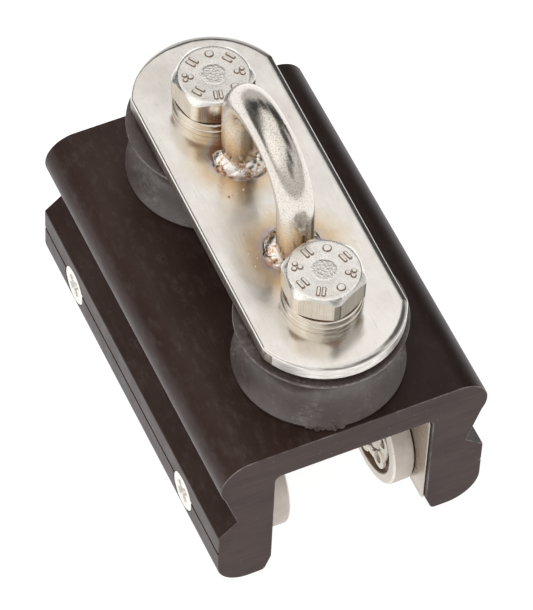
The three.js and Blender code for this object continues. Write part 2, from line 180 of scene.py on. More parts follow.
def prism(outline, low, high, edge, place, steps=3):
    """Outline (x, y) raised from low to high with rounded edges; place maps x, y, z elsewhere."""
    outline = counter_clockwise(outline)
    angles = [pi / 2 * k / steps for k in range(steps + 1)]
    levels = [(low + edge - edge * cos(a), edge - edge * sin(a)) for a in angles]
    upper = [(low + high - z, d) for z, d in reversed(levels)]
    layers = []
    for z, d in levels + upper:
        ring = inset(outline, d) if d > 1e-6 else outline
        layers.append([place(p.x, p.y, z) for p in ring])
    return stack(layers)


def sweep(path, radius, sides=40):
    """Round bar along a path that lies in a near-vertical plane across Y."""
    layers = []
    across = Vector((0, 1, 0))
    for i, here in enumerate(path):
        ahead = (path[min(i + 1, len(path) - 1)] - path[max(i - 1, 0)]).normalized()
        out = across.cross(ahead).normalized()
        side = ahead.cross(out)
        layers.append([
            here + radius * (cos(TAU * k / sides) * out + sin(TAU * k / sides) * side)
            for k in range(sides)
        ])
    return stack(layers)


def moved(bm, matrix):
    bmesh.ops.transform(bm, matrix=matrix, verts=bm.verts)
    return bm


def spin(angle, axis):
    """Matrix that turns by an angle in degrees."""
    return Matrix.Rotation(radians(angle), 4, axis)


def shifted(bm, place):
    """Moved level, so that Z at the origin goes to x, y of the place."""
    return moved(bm, Matrix.Translation((place.x, place.y, 0)))


def disc(radius, low, high, place=Vector((0, 0)), segments=64):
    bm = lathe([(0, low), (radius, low), (radius, high), (0, high)], segments, closed=False)
    return shifted(bm, place)


def linked(name, data):
    obj = bpy.data.objects.new(name, data)
    bpy.context.scene.collection.objects.link(obj)
    return obj


def scratch_object(bm):
    mesh = bpy.data.meshes.new("scratch")
    bmesh.ops.triangulate(bm, faces=[f for f in bm.faces if len(f.verts) > 4], ngon_method="EAR_CLIP")
    bm.to_mesh(mesh)
    bm.free()
    return linked("scratch", mesh)


def combined(base, tools, operation="DIFFERENCE", tidy=True):
    """base with each tool cut from it or joined to it."""
    target = scratch_object(base)
    cutters = [scratch_object(tool) for tool in tools]
    for cutter in cutters:
        step = target.modifiers.new("cut", "BOOLEAN")
        step.operation = operation
        step.solver = "EXACT"
        step.object = cutter
    bpy.context.view_layer.update()
    result = bmesh.new()
    result.from_mesh(target.evaluated_get(bpy.context.evaluated_depsgraph_get()).to_mesh())
    for obj in [target, *cutters]:
        mesh = obj.data
        bpy.data.objects.remove(obj)
        bpy.data.meshes.remove(mesh)
    bmesh.ops.remove_doubles(result, verts=result.verts, dist=1e-4)
    if tidy:
        bmesh.ops.dissolve_limit(
            result, angle_limit=radians(0.4), verts=result.verts, edges=result.edges
        )
    return result


def soften(bm, width, angle=35, steps=2):
    """Rounds every edge sharper than the angle."""
    edges = [
        e for e in bm.edges
        if len(e.link_faces) == 2 and e.calc_face_angle(0) > radians(angle)
    ]
    bmesh.ops.bevel(
        bm, geom=edges, offset=width, segments=steps, affect="EDGES", clamp_overlap=True
    )
    return bm


def joined(parts):
    bm = bmesh.new()
    for part in parts:
        mesh = bpy.data.meshes.new("part")
        part.to_mesh(mesh)
        part.free()
        bm.from_mesh(mesh)
        bpy.data.meshes.remove(mesh)
    return bm


def piece(name, bm, looks, body, nodes, sharp=34, choose=None, weighted=True):
    """Makes the Blender object for a piece, hides the model parts it stands for and hangs it on its
    body.
    """
    limit = radians(sharp)
    for face in bm.faces:
        face.smooth = True
        if choose:
            face.material_index = choose(face)
    for edge in bm.edges:
        if len(edge.link_faces) == 2:
            edge.smooth = edge.calc_face_angle(0) < limit
    mesh = bpy.data.meshes.new(name)
    bm.to_mesh(mesh)
    bm.free()
    mesh.transform(Matrix.Scale(MM, 4))
    for look in looks:
        mesh.materials.append(look)
    obj = linked(name, mesh)
    if weighted:
        obj.modifiers.new("even_normals", "WEIGHTED_NORMAL").keep_sharp = True
    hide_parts(*nodes)
    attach(obj, body)


# ---- materials


class Tree:
    """Short ways to build a node tree; values are constants or sockets."""

    def __init__(self, tree):
        self.nodes, self.links = tree.nodes, tree.links

    def feed(self, socket, value):
        if isinstance(value, bpy.types.NodeSocket):
            self.links.new(value, socket)
        elif socket.type == "RGBA":
            socket.default_value = (*value, 1)
        else:
            socket.default_value = value

    def add(self, kind, inputs, **settings):
        node = self.nodes.new(kind)
        for name, value in settings.items():
            setattr(node, name, value)
        for key, value in inputs.items():
            self.feed(node.inputs[key], value)
        return node

    def split(self, vector):
        return self.add("ShaderNodeSeparateXYZ", {"Vector": vector}).outputs

    def ramp(self, source, stops):
        """Numbers or colours along a source: stops are (place, value)."""
        node = self.add("ShaderNodeValToRGB", {"Fac": source})
        elements = node.color_ramp.elements
        while len(elements) < len(stops):
            elements.new(1.0)
        for element, (place, value) in zip(elements, stops):
            element.position = place
            rgb = value if isinstance(value, tuple) else (value, value, value)
            element.color = (*rgb, 1)
        return node.outputs["Color"]

    def fade(self, source, low, high, first=0.3, last=0.7):
        """Ramp that goes from low to high between two places."""
        return self.ramp(source, [(first, low), (last, high)])

    def maths(self, operation, a, b=0.0):
        return self.add("ShaderNodeMath", {0: a, 1: b}, operation=operation).outputs["Value"]

    def mix(self, factor, a, b, blend="MIX"):
        node = self.add("ShaderNodeMix", {"Factor": factor}, data_type="RGBA", blend_type=blend)
        for socket, value in zip([s for s in node.inputs if s.type == "RGBA"], (a, b)):
            self.feed(socket, value)
        return [s for s in node.outputs if s.type == "RGBA"][0]

    def stained(self, base, source, depth, first, last):
        """base darkened to depth where the source is below first."""
        return self.mix(1.0, base, self.fade(source, depth, 1.0, first, last), "MULTIPLY")

    def over(self, base, source, colour, amount, first, last):
        """base with up to that amount of another colour where the source is above last."""
        return self.mix(self.fade(source, 0.0, amount, first, last), base, colour)

    def span(self, source, low, high, **settings):
        """0 to 1 as the source goes from low to high."""
        inputs = {"Value": source, "From Min": low, "From Max": high}
        return self.add("ShaderNodeMapRange", inputs, **settings).outputs["Result"]


class Look(Tree):
    """A Principled material whose inputs are driven by noise in the piece's own space, in mm."""

    def __init__(self, name, metallic=0.0, specular=None):
        self.material = bpy.data.materials.new(name)
        self.material.use_nodes = True
        super().__init__(self.material.node_tree)
        self.shader = self.nodes["Principled BSDF"]
        self.shader.inputs["Metallic"].default_value = metallic
        if specular is not None:
            self.shader.inputs["Specular IOR Level"].default_value = specular
        self.place = self.nodes.new("ShaderNodeTexCoord").outputs["Object"]
        self.normal = None

    def mapped(self, scale, offset=(0, 0, 0)):
        inputs = {"Vector": self.place, "Scale": [s / MM for s in scale], "Location": offset}
        return self.add("ShaderNodeMapping", inputs).outputs["Vector"]

    def noise(self, scale, detail=3.0, rough=0.55, offset=(0, 0, 0)):
        """Noise with that many cells per mm along each axis."""
        if not isinstance(scale, tuple):
            scale = (scale, scale, scale)
        place = self.mapped(scale, offset)
        inputs = {"Vector": place, "Scale": 1.0, "Detail": detail, "Roughness": rough}
        return self.add("ShaderNodeTexNoise", inputs).outputs["Fac"]

    def cells(self, scale, offset=(0, 0, 0)):
        """Distance to the nearest of scattered points, with that many points per mm."""
        inputs = {"Vector": self.mapped((scale, scale, scale), offset), "Scale": 1.0}
        return self.add("ShaderNodeTexVoronoi", inputs).outputs["Distance"]

    def distance(self, x, y, wobble, scale=0.25):
        """Distance in mm from an upright axis through x, y, with its rings made uneven."""
        away = self.split(self.mapped((1, 1, 1), (-x, -y, 0)))
        squares = [self.maths("MULTIPLY", away[k], away[k]) for k in (0, 1)]
        length = self.maths("SQRT", self.maths("ADD", *squares))
        uneven = self.maths("MULTIPLY", self.noise(scale, 3.0), 2 * wobble)
        return self.maths("ADD", length, self.maths("SUBTRACT", uneven, wobble))

    def axis(self, which):
        return self.split(self.mapped((1, 1, 1)))[which]

    def colour(self, source):
        self.feed(self.shader.inputs["Base Color"], source)

    def rough(self, source, low, high, first=0.3, last=0.7):
        self.feed(self.shader.inputs["Roughness"], self.fade(source, low, high, first, last))

    def bump(self, height, depth):
        """Adds relief of that depth in mm."""
        inputs = {"Strength": 1.0, "Distance": depth * MM, "Height": height}
        if self.normal is not None:
            inputs["Normal"] = self.normal
        self.normal = self.add("ShaderNodeBump", inputs).outputs["Normal"]
        self.feed(self.shader.inputs["Normal"], self.normal)


def dusted(look, source, dust, amount, cell=0.55, offset=(0, 0, 0)):
    """A few pale specks of dust on a dark surface."""
    speck = look.ramp(look.cells(cell, offset), [(0.0, 1.0), (amount, 1.0), (amount * 1.6, 0.0)])
    patchy = look.fade(look.noise(0.12, 2.0, offset=(7, 3, 1)), 0.0, 1.0, 0.46, 0.62)
    return look.mix(look.maths("MULTIPLY", speck, patchy), source, dust)


WARM_GLOSS = (1.0, 0.88, 0.85, 1.0)


def anodised():
    look = Look("anodised_black", specular=0.25)
    look.shader.inputs["Specular Tint"].default_value = WARM_GLOSS
    base = look.fade(look.noise(0.07, 4.0), (0.023, 0.0115, 0.0092), (0.036, 0.0205, 0.017), 0.3, 0.72)
    lines = look.noise((0.012, 2.2, 2.2), 3.0)
    base = look.over(base, lines, (0.06, 0.040, 0.035), 0.22, 0.55, 0.78)
    scuff = look.noise((0.35, 0.7, 0.7), 6.0, 0.7, (4, 9, 2))
    base = look.over(base, scuff, (0.085, 0.064, 0.057), 0.42, 0.50, 0.76)
    # Painted shade: the body is darkened towards +Y, down to half at the far side, where less light
    # falls.
    shaded_side = look.span(look.axis("Y"), -6.0, 15.0)
    base = look.mix(1.0, base, look.fade(shaded_side, 1.0, 0.5, 0.0, 1.0), "MULTIPLY")
    look.colour(dusted(look, base, (0.13, 0.105, 0.095), 0.032))
    look.rough(look.noise(0.2, 4.0, 0.6), 0.33, 0.43)
    look.bump(lines, 0.006)
    look.bump(look.noise(5.0, 3.0), 0.004)
    return look.material


def sawn():
    look = Look("anodised_sawn_end", specular=0.2)
    look.shader.inputs["Specular Tint"].default_value = WARM_GLOSS
    lines = look.noise((1.0, 0.07, 7.0), 4.0, 0.6)
    base = look.fade(look.noise((0.1, 0.1, 0.25), 3.0), (0.024, 0.0115, 0.0100), (0.041, 0.023, 0.0200))
    base = look.over(base, lines, (0.09, 0.062, 0.057), 0.6, 0.50, 0.74)
    look.colour(dusted(look, base, (0.3, 0.27, 0.25), 0.045, 0.7))
    look.rough(lines, 0.38, 0.5)
    look.bump(lines, 0.02)
    return look.material


def burr():
    look = Look("anodised_worn_edge", specular=0.4)
    broken = look.noise((1.2, 0.35, 0.35), 4.0, 0.6)
    mask = look.fade(broken, 0.0, 1.0, 0.44, 0.72)
    look.colour(look.mix(mask, (0.05, 0.037, 0.034), (0.19, 0.165, 0.16)))
    look.rough(broken, 0.45, 0.3, 0.4, 0.65)
    look.links.new(look.maths("MULTIPLY", mask, 0.4), look.shader.inputs["Metallic"])
    look.bump(broken, 0.02)
    return look.material


def plate_steel(legs):
    look = Look("plate_stainless", metallic=1.0)
    base = look.fade(look.noise(0.1, 4.0, 0.6), (0.75, 0.715, 0.668), (0.85, 0.825, 0.795))
    tint = None
    for x, y in legs:
        away = look.span(look.distance(x, y, 1.9), 0.0, 12.0)
        ring = look.ramp(away, [
            (0.30, (0.22, 0.12, 0.09)),
            (0.42, (0.50, 0.30, 0.20)),
            (0.48, (0.62, 0.58, 0.60)),
            (0.57, (0.86, 0.71, 0.52)),
            (0.72, (0.96, 0.90, 0.80)),
            (0.92, (1.0, 1.0, 1.0)),
        ])
        tint = ring if tint is None else look.mix(1.0, tint, ring, "MULTIPLY")
    base = look.mix(1.0, base, tint, "MULTIPLY")
    pits = look.fade(look.noise(1.6, 4.0, 0.7, (2, 2, 2)), 1.0, 0.68, 0.64, 0.74)
    base = look.mix(1.0, base, pits, "MULTIPLY")
    scratches = look.noise((0.25, 7.0, 7.0), 4.0, 0.65, (6, 1, 8))
    base = look.stained(base, scratches, 0.84, 0.30, 0.44)
    look.colour(base)
    look.rough(look.noise(0.16, 5.0, 0.65, (5, 1, 0)), 0.13, 0.23)
    look.bump(look.noise(0.55, 3.0, 0.5), 0.008)
    look.bump(look.noise((0.5, 9.0, 9.0), 3.0), 0.0025)
    look.bump(look.noise(3.2, 4.0, 0.65, (1, 7, 2)), 0.006)
    return look.material


def plate_side(name, grain, low, high):
    look = Look(name, metallic=1.0)
    streaks = look.noise(grain, 4.0, 0.65)
    look.colour(look.fade(streaks, low, high, 0.34, 0.62))
    look.rough(streaks, 0.42, 0.28)
    look.bump(streaks, 0.02)
    return look.material


def eye_steel():
    look = Look("eye_stainless", metallic=1.0)
    warm = look.span(look.axis("Z"), PLATE_TOP + 1, PLATE_TOP + 13)
    base = look.ramp(warm, [
        (0.0, (0.46, 0.33, 0.22)),
        (0.25, (0.70, 0.57, 0.42)),
        (0.7, (0.78, 0.70, 0.60)),
        (1.0, (0.76, 0.71, 0.65)),
    ])
    grain = look.noise(3.4, 4.0, 0.62)
    base = look.stained(base, grain, 0.72, 0.36, 0.50)
    look.colour(base)
    look.rough(look.noise(0.4, 4.0), 0.05, 0.10)
    look.bump(look.noise(0.35, 2.0), 0.02)
    look.bump(grain, 0.026)
    return look.material


def weld_metal(name, stain):
    """Bright bead metal; the stain moves the share of it that is burnt brown."""
    look = Look(name, metallic=1.0)
    patch = look.noise(0.55, 4.0, 0.6)
    base = look.ramp(patch, [
        (0.32 + stain, (0.20, 0.09, 0.06)),
        (0.38 + stain, (0.60, 0.38, 0.25)),
        (0.46 + stain, (0.86, 0.80, 0.74)),
        (0.80, (0.92, 0.90, 0.87)),
    ])
    look.colour(base)
    look.rough(look.noise(1.2, 3.0), 0.10, 0.22)
    look.bump(look.noise(1.1, 3.0, 0.55), 0.06)
    return look.material


def bolt_steel(axes):
    look = Look("bolt_stainless", metallic=1.0)
    base = look.fade(look.noise(0.5, 4.0, 0.6), (0.86, 0.83, 0.775), (0.95, 0.93, 0.90))
    pits = look.noise(3.0, 4.0, 0.7)
    base = look.stained(base, pits, 0.74, 0.36, 0.46)
    look.colour(base)
    look.rough(look.noise(1.0, 3.0, 0.6), 0.20, 0.34)
    nearest = None
    for x, y in axes:
        away = look.distance(x, y, 0.3, 0.9)
        nearest = away if nearest is None else look.maths("MINIMUM", nearest, away)
    patch = look.fade(look.span(nearest, 0.0, 4.0), 1.0, 0.0, 0.46, 0.56)
    look.bump(look.noise((0.8, 0.8, 0.05), 2.0), 0.01)
    look.bump(look.noise(4.0, 3.0, 0.6), 0.012)
    look.bump(look.maths("MULTIPLY", look.noise(2.6, 2.0, 0.5, (3, 3, 3)), patch), 0.12)
    return look.material


def tarnish_and_shade():
    look = Look("bolt_mark_tarnish_and_painted_shade", metallic=1.0)
    # Brown tarnish that also serves as painted shade round the foot of the marks, under the head and on
    # the lock washer under it.
    cloud = look.noise(2.0, 3.0, 0.6)
    look.colour(look.fade(cloud, (0.26, 0.17, 0.12), (0.52, 0.42, 0.34)))
    look.rough(cloud, 0.35, 0.5)
    look.bump(look.noise(5.0, 2.0), 0.01)
    return look.material


def flat_steel_shaded():
    look = Look("bolt_flat_stainless_painted_shade", metallic=1.0)
    # The flats are a darker, yellower copy of the bolt steel: painted shade and painted reflection, with
    # real lengthwise finish lines.
    base = look.fade(look.noise(0.3, 3.0, 0.6), (0.78, 0.71, 0.60), (0.90, 0.85, 0.77))
    lines = look.noise((5.0, 5.0, 0.12), 3.0)
    cross = look.noise((0.1, 0.1, 4.0), 2.0)
    base = look.stained(base, lines, 0.86, 0.35, 0.5)
    look.colour(base)
    look.rough(lines, 0.09, 0.18)
    look.bump(lines, 0.004)
    look.bump(cross, 0.003)
    return look.material


def washer_steel():
    look = Look("washer_stainless", metallic=1.0)
    base = look.fade(look.noise(0.35, 4.0), (0.70, 0.63, 0.52), (0.86, 0.81, 0.73))
    look.colour(base)
    look.rough(look.noise(0.8, 3.0), 0.10, 0.19)
    look.bump(look.noise(1.5, 4.0), 0.015)
    return look.material


def sheave_plastic():
    look = Look("sheave_plastic", specular=0.8)
    base = look.fade(look.noise(0.12, 4.0, 0.6), (0.046, 0.032, 0.028), (0.074, 0.055, 0.050))
    scuff = look.noise((0.5, 0.5, 2.4), 5.0, 0.7, (3, 5, 8))
    base = look.over(base, scuff, (0.14, 0.12, 0.115), 0.6, 0.56, 0.74)
    worn = look.fade(look.noise(0.13, 2.0, 0.5, (8, 2, 6)), 0.0, 1.0, 0.50, 0.60)
    chalk = look.fade(look.noise((1.1, 1.1, 2.6), 5.0, 0.7, (1, 6, 3)), 0.0, 0.6, 0.44, 0.66)
    base = look.mix(look.maths("MULTIPLY", worn, chalk), base, (0.19, 0.17, 0.162))
    look.colour(dusted(look, base, (0.4, 0.38, 0.36), 0.035, 0.5, (1, 1, 4)))
    look.rough(look.noise(0.5, 5.0, 0.65), 0.24, 0.42, 0.35, 0.65)
    look.bump(look.noise((0.9, 0.9, 1.6), 5.0, 0.65), 0.03)
    look.bump(look.noise((0.3, 0.3, 4.0), 3.0), 0.008)
    return look.material


def sheave_edge_wear_and_highlight():
    look = Look("sheave_plastic_edge_wear_and_highlight", specular=0.6)
    worn = look.noise(0.7, 4.0, 0.65)
    # Rim edges are much paler than the sheave: a painted highlight along the rims, broken up by noise
    # like wear.
    look.colour(look.fade(worn, (0.06, 0.048, 0.044), (0.20, 0.178, 0.17), 0.40, 0.66))
    look.rough(worn, 0.3, 0.45)
    look.bump(worn, 0.02)
    return look.material


def moulded(name, low, high, rough=(0.38, 0.5)):
    look = Look(name, specular=0.45)
    base = look.fade(look.noise(0.3, 4.0, 0.6), low, high)
    grime = look.noise(1.4, 5.0, 0.7, (9, 2, 4))
    base = look.over(base, grime, (0.30, 0.24, 0.19), 0.45, 0.58, 0.74)
    look.colour(base)
    look.rough(look.noise(0.6, 3.0), rough[0], rough[1])
    look.bump(look.noise((2.0, 0.2, 2.0), 3.0), 0.008)
    return look.material


def bright_steel(name, low, high, rough, lines, depth):
    look = Look(name, metallic=1.0)
    grain = look.noise(lines, 3.0)
    cloud = look.noise(0.25, 4.0)
    look.colour(look.fade(cloud, low, high))
    look.rough(grain, rough[0], rough[1])
    look.bump(grain, depth)
    return look.material


# ---- camera, floor and light

VIEW_AZIMUTH = radians(63.206)
VIEW_ELEVATION = radians(54.136)
VIEW_ROLL = radians(2.951)
VIEW_DISTANCE = 854.52
VIEW_SLIDE = (1.516, 12.226)
LENS = 283.57
SENSOR = 36.0


def make_camera():
    data = bpy.data.cameras.new("photo_camera")
    data.sensor_width = SENSOR
    data.lens = LENS
    data.clip_start = 0.02
    data.clip_end = 20.0
    camera = linked("photo_camera", data)
    sin_a, cos_a = sin(VIEW_AZIMUTH), cos(VIEW_AZIMUTH)
    sin_e, cos_e = sin(VIEW_ELEVATION), cos(VIEW_ELEVATION)
    back = Vector((sin_a * cos_e, -cos_a * cos_e, sin_e))
    level = Vector((cos_a, sin_a, 0))
    upright = back.cross(level)
    right = level * cos(VIEW_ROLL) + upright * sin(VIEW_ROLL)
    up = upright * cos(VIEW_ROLL) - level * sin(VIEW_ROLL)
    place = back * VIEW_DISTANCE + right * VIEW_SLIDE[0] + up * VIEW_SLIDE[1]
    place.z += FEET
    turn = Matrix((right, up, back)).transposed().to_4x4()
    camera.matrix_world = Matrix.Translation(place * MM) @ turn
    bpy.context.scene.camera = camera


FLOOR_GLOW = 0.93
FLOOR_REACH = 3.0


def make_floor():
    look = Look("floor_pale")
    soft = look.noise(0.004, 2.0)
    look.colour(look.fade(soft, (0.23, 0.23, 0.23), (0.25, 0.25, 0.25)))
    look.shader.inputs["Roughness"].default_value = 0.9
    look.shader.inputs["Specular IOR Level"].default_value = 0.0
    look.shader.inputs["Emission Color"].default_value = (1, 1, 1, 1)
    look.shader.inputs["Emission Strength"].default_value = FLOOR_GLOW
    mesh = bpy.data.meshes.new("floor")
    corners = [(-FLOOR_REACH, -FLOOR_REACH, 0), (FLOOR_REACH, -FLOOR_REACH, 0),
               (FLOOR_REACH, FLOOR_REACH, 0), (-FLOOR_REACH, FLOOR_REACH, 0)]
    mesh.from_pydata(corners, [], [(0, 1, 2, 3)])
    mesh.materials.append(look.material)
    linked("floor", mesh)


LIGHT_TARGET = Vector((0, 0, 0.03))


def area_light(name, place, size, power):
    """Light aimed at the car that leaves no reflection of its own."""
    data = bpy.data.lights.new(name, "AREA")
    data.shape = "RECTANGLE"
    data.size, data.size_y = size
    data.energy = power
    light = linked(name, data)
    light.location = place
    light.rotation_euler = (LIGHT_TARGET - Vector(place)).to_track_quat("-Z", "Y").to_euler()
    light.visible_glossy = False
    light.visible_camera = False


# Patches of the studio round the car: azimuth and elevation of the middle in degrees (azimuth 0
# is +X and 90 is +Y), where it is full and where it has faded out, and its brightness.
STUDIO_PATCHES = [
    (119, 9, 9, 17, 0.08),
    (129, 27, 9, 17, 0.06),
    (157, 38, 9, 15, 0.05),
    (188, 40, 10, 16, 0.05),
    (208, 31, 12, 20, 0.06),
    (232, 19, 14, 28, 0.12),
    (100, 46, 10, 22, 0.10),
    (45, 56, 8, 18, 0.15),
    (2, 48, 8, 20, 0.26),
    (150, 60, 8, 17, 1.08),
    (180, 64, 11, 20, 1.08),
    (-100, 72, 12, 26, 1.12),
    (-92, 42, 17, 32, 1.25),
]
# Brightness of the studio from straight down (0) to straight up (1).
STUDIO_LEVELS = [(0.0, 0.95), (0.495, 0.95), (0.52, 0.58), (0.75, 0.70), (0.87, 0.95), (1.0, 1.0)]
OVERHEAD_FILL = 9.0
CHANNEL_FILL = 0.035


def make_light():
    scene = bpy.context.scene
    scene.view_settings.view_transform = "Standard"
    world = bpy.data.worlds.new("studio")
    scene.world = world
    world.use_nodes = True
    tree = Tree(world.node_tree)
    direction = tree.nodes.new("ShaderNodeTexCoord").outputs["Generated"]
    height = tree.span(tree.split(direction)["Z"], -1.0, 1.0)
    levels = [(place, (v, v * 0.985, v * 0.965)) for place, v in STUDIO_LEVELS]
    colour = tree.ramp(height, levels)
    for azimuth, elevation, full, faded, value in STUDIO_PATCHES:
        a, e = radians(azimuth), radians(elevation)
        level = cos(e)
        middle = (cos(a) * level, sin(a) * level, sin(e))
        inputs = {0: direction, 1: middle}
        nearness = tree.add("ShaderNodeVectorMath", inputs, operation="DOT_PRODUCT").outputs["Value"]
        low, high = cos(radians(faded)), cos(radians(full))
        mask = tree.span(nearness, low, high, interpolation_type="SMOOTHSTEP")
        colour = tree.mix(mask, colour, (value, value * 0.98, value * 0.955))
    background = tree.nodes["Background"]
    tree.feed(background.inputs["Color"], colour)
    background.inputs["Strength"].default_value = 1.0
    area_light("overhead_fill", (0.1, -0.15, 1.2), (1.6, 1.6), OVERHEAD_FILL)
    area_light("channel_fill", (0.16, -0.035, 0.02), (0.06, 0.04), CHANNEL_FILL)


make_camera()
make_floor()
make_light()

ANODISED = anodised()
SAWN = sawn()
BURR = burr()
BAR_RADIUS = 3.25
LEG_X = {"front": EYE_HIGH.x - BAR_RADIUS, "rear": EYE_LOW.x + BAR_RADIUS}
PLATE_STEEL = plate_steel([(x, 0.0) for x in LEG_X.values()])
PLATE_END = plate_side("plate_rolled_end", (0.5, 0.5, 3.2), (0.60, 0.56, 0.52), (0.84, 0.81, 0.78))
# Sheared plate side: real streaky grain, plus painted shade that makes it far darker than the rest of
# the plate.
PLATE_SIDE_SHADED = plate_side("plate_sheared_side_painted_shade", (1.3, 1.3, 0.5), (0.13, 0.10, 0.085), (0.36, 0.31, 0.27))
EYE_STEEL = eye_steel()
WELD_STAINS = {"front": 0.05, "rear": 0.02}
WELD_METAL = {end: weld_metal(f"weld_metal_{end}", stain) for end, stain in WELD_STAINS.items()}
BOLT_STEEL = bolt_steel([bolt.xy for bolt in BOLTS.values()])
TARNISH_AND_SHADE = tarnish_and_shade()
FLAT_STEEL_SHADED = flat_steel_shaded()
WASHER_STEEL = washer_steel()
SHEAVE_PLASTIC = sheave_plastic()
SHEAVE_EDGE_WEAR_AND_HIGHLIGHT = sheave_edge_wear_and_highlight()
# Lit and shaded copies of one acetal: the inward face is painted much lighter than the tread (painted
# light).
WHEEL_PLASTIC = moulded("wheel_acetal", (0.42, 0.365, 0.32), (0.53, 0.47, 0.42))
WHEEL_FACE_LIT = moulded("wheel_acetal_face_painted_light", (0.74, 0.68, 0.60), (0.88, 0.83, 0.76))
# Painted shade: the recess and bore of the tyre are coloured dark brown.
WHEEL_RECESS_SHADE = moulded("wheel_acetal_recess_painted_shade", (0.16, 0.09, 0.05), (0.36, 0.26, 0.18))
CAGE_PLASTIC = moulded("cage_plastic", (0.78, 0.71, 0.60), (0.90, 0.84, 0.74), (0.22, 0.34))
# Painted shade: the steel balls are darkened and browned for the shade and brown reflections inside the
# wheel.
BALL_STEEL_SHADED = bright_steel("ball_steel", (0.42, 0.32, 0.22), (0.58, 0.48, 0.36), (0.03, 0.06), 0.6, 0.001)
STRIP_STEEL = bright_steel(
    "strip_stainless", (0.44, 0.37, 0.31), (0.60, 0.53, 0.47), (0.24, 0.34), (0.03, 1.1, 1.1), 0.0004
)

# ---- car body

SHOULDER_RADIUS = 5.6
SHOULDER_REACH = 24.85
SHOULDER_START = 88
SHOULDER_END = -32
FOOT_RADIUS = 6.1
WALL_INNER = 14.75
STRIP_INNER = box_mm("channel_strip_left")[0].y
BODY_HEIGHT = ROOF - FEET
GUIDE_LINE = 10.1
GUIDE_LINE_HALF = 0.36
GUIDE_LINE_DEPTH = 0.42
BOLT_BORE = 4.08
AXLE_BORE = 2.06
SINK_RADIUS = 3.76
SINK_DEPTH = 1.85
SINK_START = 0.36
BODY_EDGE = [(0.0, 0.16), (0.05, 0.05), (0.16, 0.0)]


def body_outline():
    across = SHOULDER_REACH - SHOULDER_RADIUS
    up = BODY_HEIGHT - SHOULDER_RADIUS
    shoulder = arc(across, up, SHOULDER_RADIUS, SHOULDER_START, SHOULDER_END, 28)
    foot = arc(HALF_WIDTH - FOOT_RADIUS, FOOT_RADIUS, FOOT_RADIUS, -2, -88, 20)
    corners = [
        (across, BODY_HEIGHT),
        *shoulder,
        (21.5, 18.0, 0.45),
        (HALF_WIDTH, 14.9, 0.5),
        (HALF_WIDTH, GUIDE_LINE + GUIDE_LINE_HALF),
        (HALF_WIDTH - GUIDE_LINE_DEPTH, GUIDE_LINE),
        (HALF_WIDTH, GUIDE_LINE - GUIDE_LINE_HALF),
        (HALF_WIDTH, FOOT_RADIUS),
        *foot,
        (HALF_WIDTH - FOOT_RADIUS, 0),
        (16.0, 0, 1.1),
        (WALL_INNER, 3.6, 1.2),
        (WALL_INNER, 27.6, 1.2),
    ]
    mirrored_corners = [(-c[0], *c[1:]) for c in reversed(corners)]
    points = fillet([*corners, *mirrored_corners])
    return [Vector((p.x, p.y + FEET)) for p in points]


def outwards(bm, station, wall):
    """Takes a shape drawn with Z outwards to a station, with its zero at the wall's distance."""
    side = 1 if station.y > 0 else -1
    turn = spin(-90 * side, "X")
    return moved(bm, Matrix.Translation((station.x, side * wall, station.z)) @ turn)


def side_cutter(station):
    """Countersunk bore that enters the outer wall at a station."""
    length = HALF_WIDTH - WALL_INNER + 1
    profile = [
        (0, 1.0),
        (SINK_RADIUS, 1.0),
        (SINK_RADIUS, -SINK_START),
        (AXLE_BORE, -SINK_DEPTH - SINK_START),
        (AXLE_BORE, -length),
        (0, -length),
    ]
    return outwards(lathe(profile, 72, closed=False), station, HALF_WIDTH)


def make_body():
    outline = counter_clockwise(body_outline())
    levels = [(-HALF_LENGTH + d, i) for d, i in BODY_EDGE]
    levels += [(HALF_LENGTH - d, i) for d, i in reversed(BODY_EDGE)]
    layers = []
    for x, d in levels:
        ring = inset(outline, d) if d else outline
        layers.append([Vector((x, p.x, p.y)) for p in ring])
    cutters = [side_cutter(station) for station in STATIONS.values()]
    cutters += [disc(BOLT_BORE, 20, ROOF + 1, BOLTS[end]) for end in ENDS]
    bm = combined(stack(layers), cutters, tidy=False)

    def choose(face):
        along = abs(face.calc_center_median().x)
        if abs(face.normal.x) > 0.9 and along > HALF_LENGTH - 0.01:
            return 1
        return 2 if along > HALF_LENGTH - 0.15 and abs(face.normal.x) > 0.1 else 0

    looks = [ANODISED, SAWN, BURR]
    piece("body_shell", bm, looks, "car", ["car_body"], choose=choose)


make_body()

# ---- channel strips


def make_strip(side):
    low, high = box_mm(f"channel_strip_{side}")
    radius = (high.z - low.z) * 0.04
    corners = [(low.x, low.z), (high.x, low.z), (high.x, high.z), (low.x, high.z)]
    outline = fillet([(*corner, radius) for corner in corners])
    bm = prism(outline, low.y, high.y, 0.12, lambda x, y, z: Vector((x, z, y)))
    holes = []
    for name, station in STATIONS.items():
        if name.endswith(side):
            turn = spin(90, "X")
            place = Matrix.Translation((station.x, (low.y + high.y) / 2, station.z))
            holes.append(moved(disc(AXLE_BORE, -3, 3, segments=48), place @ turn))
    bm = combined(bm, holes)
    piece(f"strip_{side}", bm, [STRIP_STEEL], "car", [f"channel_strip_{side}"])


for strip_side in ("left", "right"):
    make_strip(strip_side)

# ---- track wheels
# Drawn about Z with height = depth from the middle of the wheel towards the middle of the
# channel, then turned so that height runs inwards from each wall.

